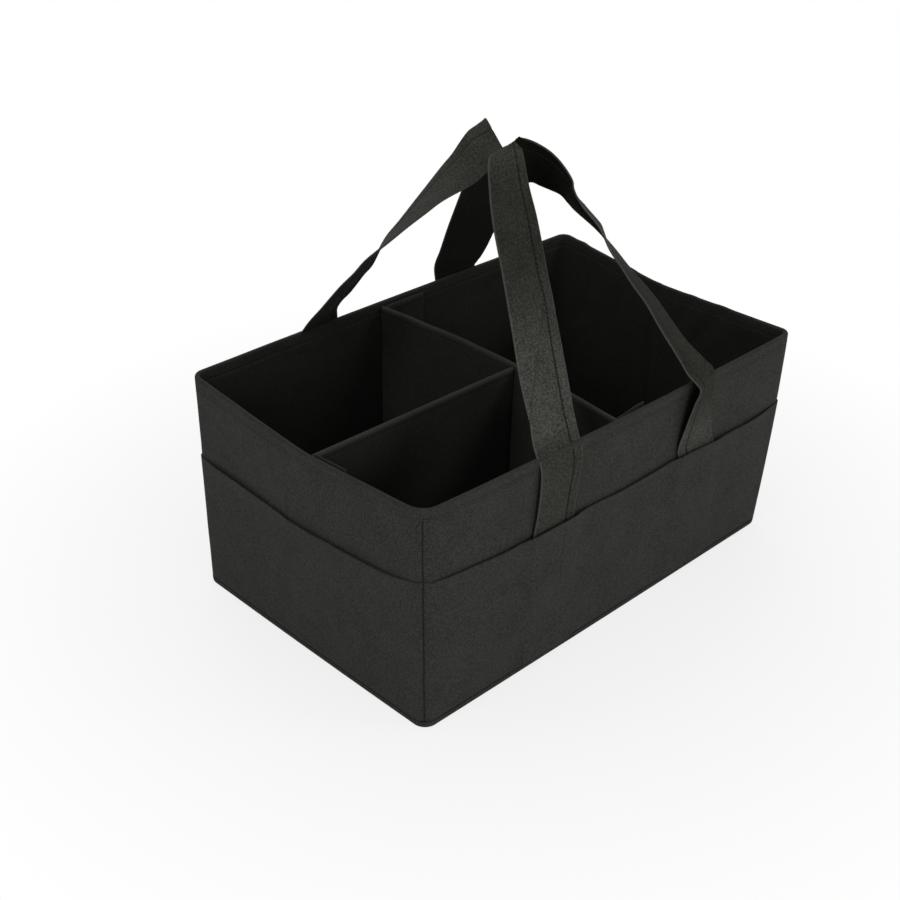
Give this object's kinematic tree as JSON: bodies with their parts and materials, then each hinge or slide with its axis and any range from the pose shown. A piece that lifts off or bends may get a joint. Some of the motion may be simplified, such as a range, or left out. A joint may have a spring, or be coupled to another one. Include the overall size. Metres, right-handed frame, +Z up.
{
  "type": "diaper caddy",
  "caption": "Open felt caddy box with board-stiffened walls, flat pockets round the outside, a lift-out T-shaped divider on hook-and-loop flaps, and webbing carry handles that lean together.",
  "frame": {"origin": "middle of the underside, on the surface the caddy stands on", "axes": "+X along the long side towards the undivided compartment, +Y across the box from the front wall to the back wall, +Z up"},
  "size_m": [0.3958, 0.2606, 0.3782],
  "materials": {
    "outer_felt": "matt brushed felt",
    "lining_felt": "matt felt",
    "binding": "matt felt, folded and topstitched",
    "webbing": "matt felt webbing, topstitched",
    "board": "pressed board",
    "tape": "hook-and-loop tape"
  },
  "bodies": {
    "caddy": {"front_outer_panel": "outer_felt", "right_outer_panel": "outer_felt", "back_outer_panel": "outer_felt", "left_outer_panel": "outer_felt", "front_lining": "lining_felt", "right_lining": "lining_felt", "back_lining": "lining_felt", "left_lining": "lining_felt", "front_wall_board": "board", "back_wall_board": "board", "left_wall_board_front_half": "board", "left_wall_board_back_half": "board", "right_wall_board_front_half": "board", "right_wall_board_back_half": "board", "front_pocket": "outer_felt", "right_pocket": "outer_felt", "back_pocket": "outer_felt", "left_pocket": "outer_felt", "rim_binding": "binding", "bottom_binding": "binding", "base_panel": "outer_felt", "base_board": "board", "base_lining": "lining_felt", "front_strap_tail_left": "webbing", "front_strap_tail_right": "webbing", "back_strap_tail_left": "webbing", "back_strap_tail_right": "webbing", "front_loop_tape": "tape", "back_loop_tape": "tape", "left_loop_tape": "tape"},
    "front_handle": {"front_handle_strap": "webbing"},
    "back_handle": {"back_handle_strap": "webbing"},
    "divider": {"cross_divider_cover": "lining_felt", "cross_divider_board": "board", "long_divider_cover": "lining_felt", "long_divider_board": "board"},
    "front_flap": {"front_flap": "lining_felt", "front_hook_tape": "tape"},
    "back_flap": {"back_flap": "lining_felt", "back_hook_tape": "tape"},
    "left_flap": {"left_flap": "lining_felt", "left_hook_tape": "tape"}
  },
  "joints": [
    {"name": "front_handle_swing", "type": "hinge", "parent": "caddy", "child": "front_handle", "pos_m": [0, -0.1302, 0.1905], "axis": [1, 0, 0], "range_deg": [0, 190]},
    {"name": "back_handle_swing", "type": "hinge", "parent": "caddy", "child": "back_handle", "pos_m": [0, 0.1302, 0.1905], "axis": [-1, 0, 0], "range_deg": [0, 190]},
    {"name": "divider_lift", "type": "slide", "parent": "caddy", "child": "divider", "axis": [0, 0, 1], "range_m": [0, 0.1]},
    {"name": "front_flap_peel", "type": "hinge", "parent": "divider", "child": "front_flap", "pos_m": [-0.002, -0.11995, 0.105], "axis": [0, 0, 1], "range_deg": [0, 80]},
    {"name": "back_flap_peel", "type": "hinge", "parent": "divider", "child": "back_flap", "pos_m": [-0.002, 0.11995, 0.105], "axis": [0, 0, -1], "range_deg": [0, 80]},
    {"name": "left_flap_peel", "type": "hinge", "parent": "divider", "child": "left_flap", "pos_m": [-0.1883, -0.0195, 0.105], "axis": [0, 0, 1], "range_deg": [0, 80]}
  ]
}
